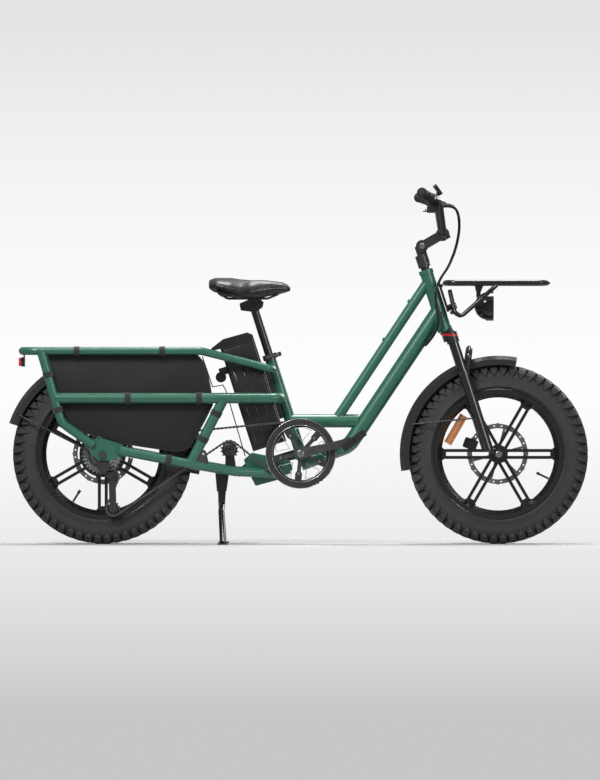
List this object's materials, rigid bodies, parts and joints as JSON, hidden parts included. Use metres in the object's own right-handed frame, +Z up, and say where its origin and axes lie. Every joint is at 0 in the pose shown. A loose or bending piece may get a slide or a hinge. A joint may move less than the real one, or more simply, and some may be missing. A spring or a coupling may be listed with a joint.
{
  "type": "cargo bicycle",
  "caption": "Long-tail electric cargo bicycle: low step-through frame, fat tyres on cast wheels, front rack, side panels, slide-out battery and a two-leg stand.",
  "frame": {"origin": "on the ground, midway along the bicycle, in its middle plane", "axes": "+X to the front, +Y to the rider's left, +Z up"},
  "size_m": [1.854, 0.6722, 1.1571],
  "materials": {
    "green_paint": "satin",
    "black_paint": "satin",
    "black_alloy": "satin",
    "bare_alloy": "brushed",
    "steel": "brushed",
    "dark_steel": "satin",
    "tyre_rubber": "matte",
    "grip_rubber": "matte",
    "black_plastic": "matte",
    "gloss_plastic": "gloss",
    "panel_sheet": "matte",
    "strap_web": "woven",
    "amber": "gloss",
    "red_plastic": "gloss",
    "saddle_skin": "satin",
    "cable_jacket": "satin"
  },
  "bodies": {
    "frame": {"main_frame": "green_paint", "frame_bearings": "steel", "base_box": "green_paint", "battery_mount": "green_paint", "rear_rails": "green_paint", "rear_stays": "green_paint", "dropouts": "green_paint", "side_panels": "panel_sheet", "panel_straps": "strap_web", "rear_fender": "black_plastic", "rear_light": "red_plastic", "stay_brackets": "black_paint", "derailleur": "dark_steel", "chain": "steel", "rear_caliper": "black_alloy", "seat_collar": "black_alloy", "rack_platform": "black_paint", "rack_struts": "black_paint", "cable_loom": "cable_jacket"},
    "steerer": {"fork_crown": "black_alloy", "stanchions": "dark_steel", "stem_base": "black_alloy"},
    "fork_lower": {"fork_lowers": "black_alloy", "front_fender": "black_plastic", "front_caliper": "black_alloy"},
    "front_wheel": {"front_tyre": "tyre_rubber", "front_cast_wheel": "black_alloy", "front_rotor": "steel", "front_reflector": "amber"},
    "rear_wheel": {"rear_tyre": "tyre_rubber", "rear_cast_wheel": "black_alloy", "rear_rotor": "steel"},
    "cog_set": {"cassette": "dark_steel"},
    "idler": {"idler_wheel": "black_plastic"},
    "jockey_top": {"upper_jockey": "black_plastic"},
    "jockey_low": {"lower_jockey": "black_plastic"},
    "crank": {"right_crank": "bare_alloy", "left_crank": "bare_alloy", "chain_ring": "dark_steel", "chain_guard": "black_alloy"},
    "right_pedal": {"pedal_right": "black_plastic"},
    "left_pedal": {"pedal_left": "black_plastic"},
    "stand": {"center_stand": "black_paint"},
    "bar": {"stem_arm": "black_alloy", "handlebar": "black_paint", "grips": "grip_rubber", "bar_controls": "black_plastic", "display": "gloss_plastic", "bar_cables": "cable_jacket"},
    "right_brake": {"brake_lever_right": "black_alloy"},
    "left_brake": {"brake_lever_left": "black_alloy"},
    "shifter": {"shift_lever": "black_plastic"},
    "up_key": {"button_up": "grip_rubber"},
    "down_key": {"button_down": "grip_rubber"},
    "lamp": {"headlight": "gloss_plastic"},
    "seat": {"seatpost": "black_alloy", "saddle_base": "black_plastic", "saddle": "saddle_skin"},
    "collar_lever": {"seat_lever": "bare_alloy"},
    "battery_pack": {"battery": "black_plastic"}
  },
  "joints": [
    {"name": "steering", "type": "hinge", "parent": "frame", "child": "steerer", "pos_m": [0.407, 0, 0.878], "axis": [-0.304, 0, 0.9527], "range_deg": [-56, 56], "deforming": ["cable_loom"]},
    {"name": "fork_travel", "type": "slide", "parent": "steerer", "child": "fork_lower", "axis": [-0.304, 0, 0.9527], "range_m": [0, 0.05], "stiffness_N_per_m": 9000, "springref_m": -0.03},
    {"name": "front_wheel_spin", "type": "hinge", "parent": "fork_lower", "child": "front_wheel", "pos_m": [0.639, 0, 0.288], "axis": [0, 1, 0], "continuous": true},
    {"name": "rear_wheel_spin", "type": "hinge", "parent": "frame", "child": "rear_wheel", "pos_m": [-0.628, 0, 0.288], "axis": [0, 1, 0], "continuous": true},
    {"name": "crank_spin", "type": "hinge", "parent": "frame", "child": "crank", "pos_m": [0.006, 0, 0.29], "axis": [0, 1, 0], "continuous": true},
    {"name": "cassette_spin", "type": "hinge", "parent": "frame", "child": "cog_set", "pos_m": [-0.628, 0, 0.288], "axis": [0, 1, 0], "continuous": true},
    {"name": "idler_spin", "type": "hinge", "parent": "frame", "child": "idler", "pos_m": [-0.221, -0.074, 0.302], "axis": [0, 1, 0], "continuous": true},
    {"name": "upper_jockey_spin", "type": "hinge", "parent": "frame", "child": "jockey_top", "pos_m": [-0.597, -0.074, 0.216], "axis": [0, 1, 0], "continuous": true},
    {"name": "lower_jockey_spin", "type": "hinge", "parent": "frame", "child": "jockey_low", "pos_m": [-0.593, -0.074, 0.114], "axis": [0, 1, 0], "continuous": true},
    {"name": "right_pedal_spin", "type": "hinge", "parent": "crank", "child": "right_pedal", "pos_m": [0.17595, 0, 0.33174], "axis": [0, 1, 0], "continuous": true},
    {"name": "left_pedal_spin", "type": "hinge", "parent": "crank", "child": "left_pedal", "pos_m": [-0.16395, 0, 0.24826], "axis": [0, 1, 0], "continuous": true},
    {"name": "stand_fold", "type": "hinge", "parent": "frame", "child": "stand", "pos_m": [-0.246, 0, 0.176], "axis": [0, 1, 0], "range_deg": [0, 82]},
    {"name": "stem_tilt", "type": "hinge", "parent": "steerer", "child": "bar", "pos_m": [0.39532, 0, 0.95405], "axis": [0, 1, 0], "range_deg": [-25, 25], "deforming": ["bar_cables"]},
    {"name": "right_brake_pull", "type": "hinge", "parent": "bar", "child": "right_brake", "pos_m": [0.45711, -0.18932, 1.08626], "axis": [0, 0, -1], "range_deg": [0, 9], "stiffness_Nm_per_rad": 1.5, "springref_deg": -5.73},
    {"name": "left_brake_pull", "type": "hinge", "parent": "bar", "child": "left_brake", "pos_m": [0.45711, 0.18932, 1.08626], "axis": [0, 0, 1], "range_deg": [0, 9], "stiffness_Nm_per_rad": 1.5, "springref_deg": -5.73},
    {"name": "shift_push", "type": "hinge", "parent": "bar", "child": "shifter", "pos_m": [0.43538, -0.17203, 1.06457], "axis": [0, 0, 1], "range_deg": [0, 18], "stiffness_Nm_per_rad": 0.5, "springref_deg": -5.73},
    {"name": "up_key_press", "type": "slide", "parent": "bar", "child": "up_key", "axis": [1, 0, 0], "range_m": [0, 0.001], "stiffness_N_per_m": 900, "springref_m": -0.0005},
    {"name": "down_key_press", "type": "slide", "parent": "bar", "child": "down_key", "axis": [1, 0, 0], "range_m": [0, 0.001], "stiffness_N_per_m": 900, "springref_m": -0.0005},
    {"name": "lamp_tilt", "type": "hinge", "parent": "frame", "child": "lamp", "pos_m": [0.576, 0, 0.816], "axis": [0, 1, 0], "range_deg": [-12, 15]},
    {"name": "seatpost_slide", "type": "slide", "parent": "frame", "child": "seat", "axis": [-0.304, 0, 0.9527], "range_m": [-0.07, 0.09]},
    {"name": "collar_lever_swing", "type": "hinge", "parent": "frame", "child": "collar_lever", "pos_m": [-0.06384, 0, 0.6075], "axis": [0, 1, 0], "range_deg": [0, 110]},
    {"name": "battery_slide", "type": "slide", "parent": "frame", "child": "battery_pack", "axis": [-0.304, 0, 0.9527], "range_m": [0, 0.06]}
  ],
  "couplings": [
    {"joint": "cassette_spin", "follows": "crank_spin", "ratio": 2.3636},
    {"joint": "idler_spin", "follows": "crank_spin", "ratio": -3.7143},
    {"joint": "upper_jockey_spin", "follows": "crank_spin", "ratio": -4.7273},
    {"joint": "lower_jockey_spin", "follows": "crank_spin", "ratio": 4.7273}
  ]
}
